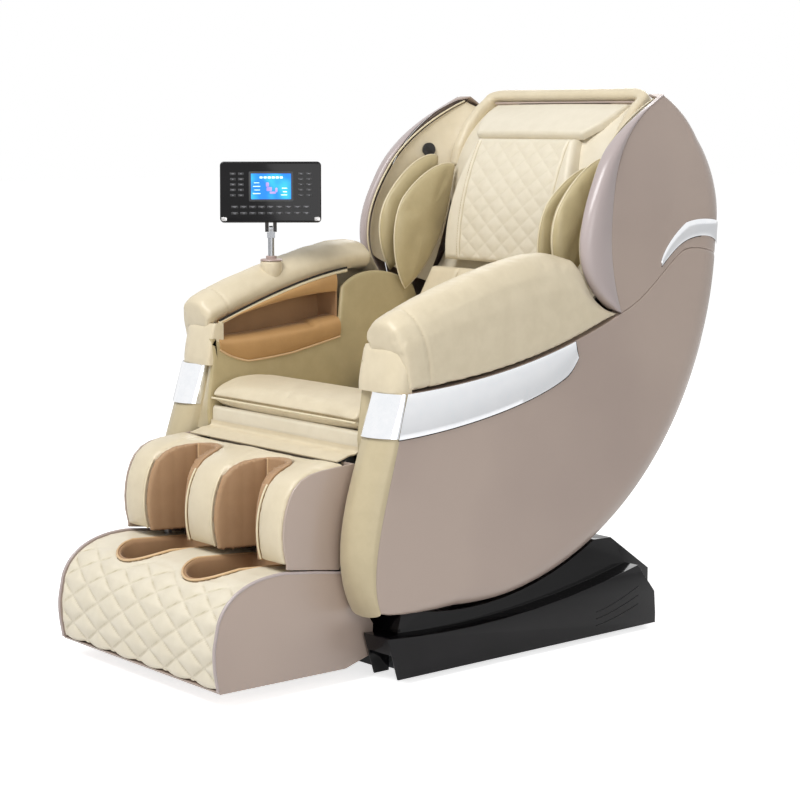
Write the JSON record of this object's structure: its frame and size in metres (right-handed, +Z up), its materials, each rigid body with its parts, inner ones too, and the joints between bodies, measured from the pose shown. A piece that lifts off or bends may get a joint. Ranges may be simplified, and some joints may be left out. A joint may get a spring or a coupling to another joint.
{
  "type": "massage chair",
  "caption": "Zero-gravity massage chair: a padded capsule seat with a hood for the head, arm slots, a lifting leg rest with calf and foot wells, and a control panel on a post.",
  "frame": {"origin": "middle of the bounding box, at floor level under the rubber feet", "axes": "+X to the sitter's left, -Y to the front, where the feet go, +Z up from the floor"},
  "size_m": [0.7762, 1.35, 1.1923],
  "materials": {
    "shell": "satin paint on moulded shells",
    "rim": "satin paint, lighter",
    "cream": "smooth upholstery leather",
    "olive": "smooth upholstery leather, darker panels",
    "tan": "soft airbag lining",
    "black_gloss": "gloss",
    "black_matte": "matte",
    "bright": "mirror",
    "steel": "powder coat",
    "shaft": "brushed",
    "nylon": "matte",
    "rubber": "matte",
    "motor": "painted",
    "board": "plain board",
    "screen": "lit display window",
    "switch_red": "gloss"
  },
  "bodies": {
    "base": {"base_cover": "black_gloss", "base_frame": "steel", "arc_rails": "shaft", "base_feet": "rubber", "mains_inlet": "black_matte", "control_box": "steel"},
    "switch": {"mains_switch": "switch_red"},
    "wheel_left": {"wheel_left": "rubber"},
    "wheel_right": {"wheel_right": "rubber"},
    "rock_tube": {"rock_actuator": "motor"},
    "rock_ram": {"rock_rod": "shaft"},
    "capsule": {"seat_frame": "steel", "glide_shoes": "nylon", "massage_rails": "steel", "side_shell_left": "shell", "side_shell_right": "shell", "back_cover": "shell", "shell_trim_left": "cream", "shell_trim_right": "cream", "chrome_strips": "bright", "arm_pad_left": "cream", "arm_pad_right": "cream", "arm_linings": "tan", "inner_panels": "olive", "wing_left": "shell", "wing_right": "shell", "wing_rim_left": "rim", "wing_rim_right": "rim", "wing_linings": "cream", "wing_chromes": "bright", "shoulder_pads_left": "olive", "shoulder_pads_right": "olive", "head_arch": "cream", "head_pad": "cream", "back_pad": "cream", "lumbar_pad": "cream", "seat_cushion": "cream", "seat_front_panel": "olive", "seat_pan": "board", "speakers": "black_matte", "air_pump": "motor", "panel_mount": "black_matte"},
    "carriage": {"carriage_frame": "steel", "massage_heads": "black_matte"},
    "knead": {"knead_shaft": "shaft"},
    "leg_rest": {"calf_shell": "shell", "calf_pad": "cream", "calf_lining": "tan", "calf_frame": "steel"},
    "foot_rest": {"foot_shell": "shell", "foot_pad": "cream", "foot_lining": "tan", "foot_rods": "shaft"},
    "rollers": {"foot_rollers": "rubber"},
    "leg_tube": {"leg_actuator": "motor"},
    "leg_ram": {"leg_rod": "shaft"},
    "post": {"panel_post": "shaft"},
    "panel": {"panel_case": "black_gloss", "panel_screen": "screen", "panel_keys": "black_matte"}
  },
  "joints": [
    {"name": "capsule_tilt", "type": "hinge", "parent": "base", "child": "capsule", "pos_m": [0, -0.065, 0.874], "axis": [-1, 0, 0], "range_deg": [0, 18]},
    {"name": "legrest_lift", "type": "hinge", "parent": "capsule", "child": "leg_rest", "pos_m": [0, -0.312, 0.44], "axis": [-1, 0, 0], "range_deg": [0, 80]},
    {"name": "foot_extend", "type": "slide", "parent": "leg_rest", "child": "foot_rest", "axis": [0, 0, -1], "range_m": [0, 0.112]},
    {"name": "roller_spin", "type": "hinge", "parent": "foot_rest", "child": "rollers", "pos_m": [0, -0.52, 0.057], "axis": [1, 0, 0], "continuous": true},
    {"name": "carriage_travel", "type": "hinge", "parent": "capsule", "child": "carriage", "pos_m": [0, -0.12, 0.98], "axis": [1, 0, 0], "range_deg": [-34, 30]},
    {"name": "knead_spin", "type": "hinge", "parent": "carriage", "child": "knead", "pos_m": [0, 0.43273, 0.68611], "axis": [1, 0, 0], "continuous": true},
    {"name": "panel_swivel", "type": "hinge", "parent": "capsule", "child": "post", "pos_m": [-0.296, -0.103, 0.878], "axis": [0, 0, 1], "range_deg": [-60, 40]},
    {"name": "panel_tilt", "type": "hinge", "parent": "post", "child": "panel", "pos_m": [-0.296, -0.103, 0.878], "axis": [0.6157, 0.788, 0], "range_deg": [-30, 30]},
    {"name": "rock_swing", "type": "hinge", "parent": "base", "child": "rock_tube", "pos_m": [0, 0.415, 0.078], "axis": [1, 0, 0], "range_deg": [0, 2.6]},
    {"name": "rock_stroke", "type": "slide", "parent": "rock_tube", "child": "rock_ram", "axis": [0, -0.9805, 0.1965], "range_m": [0, 0.2227]},
    {"name": "leg_swing", "type": "hinge", "parent": "capsule", "child": "leg_tube", "pos_m": [0, 0, 0.25], "axis": [-1, 0, 0], "range_deg": [0, 12.4]},
    {"name": "leg_stroke", "type": "slide", "parent": "leg_tube", "child": "leg_ram", "axis": [0, -0.9839, 0.1789], "range_m": [0, 0.1451]},
    {"name": "switch_rock", "type": "hinge", "parent": "base", "child": "switch", "pos_m": [0.182, 0.4756, 0.062], "axis": [1, 0, 0], "range_deg": [0, 16]},
    {"name": "wheel_spin_left", "type": "hinge", "parent": "base", "child": "wheel_left", "pos_m": [0.308, 0.438, 0.033], "axis": [1, 0, 0], "continuous": true},
    {"name": "wheel_spin_right", "type": "hinge", "parent": "base", "child": "wheel_right", "pos_m": [-0.308, 0.438, 0.033], "axis": [1, 0, 0], "continuous": true}
  ],
  "couplings": [
    {"joint": "rock_swing", "follows": "capsule_tilt", "ratio": 0.14022},
    {"joint": "rock_stroke", "follows": "capsule_tilt", "m_per_rad": 0.70824},
    {"joint": "leg_swing", "follows": "legrest_lift", "ratio": 0.15463},
    {"joint": "leg_stroke", "follows": "legrest_lift", "m_per_rad": 0.10375},
    {"joint": "foot_extend", "follows": "legrest_lift", "m_per_rad": 0.080214}
  ]
}
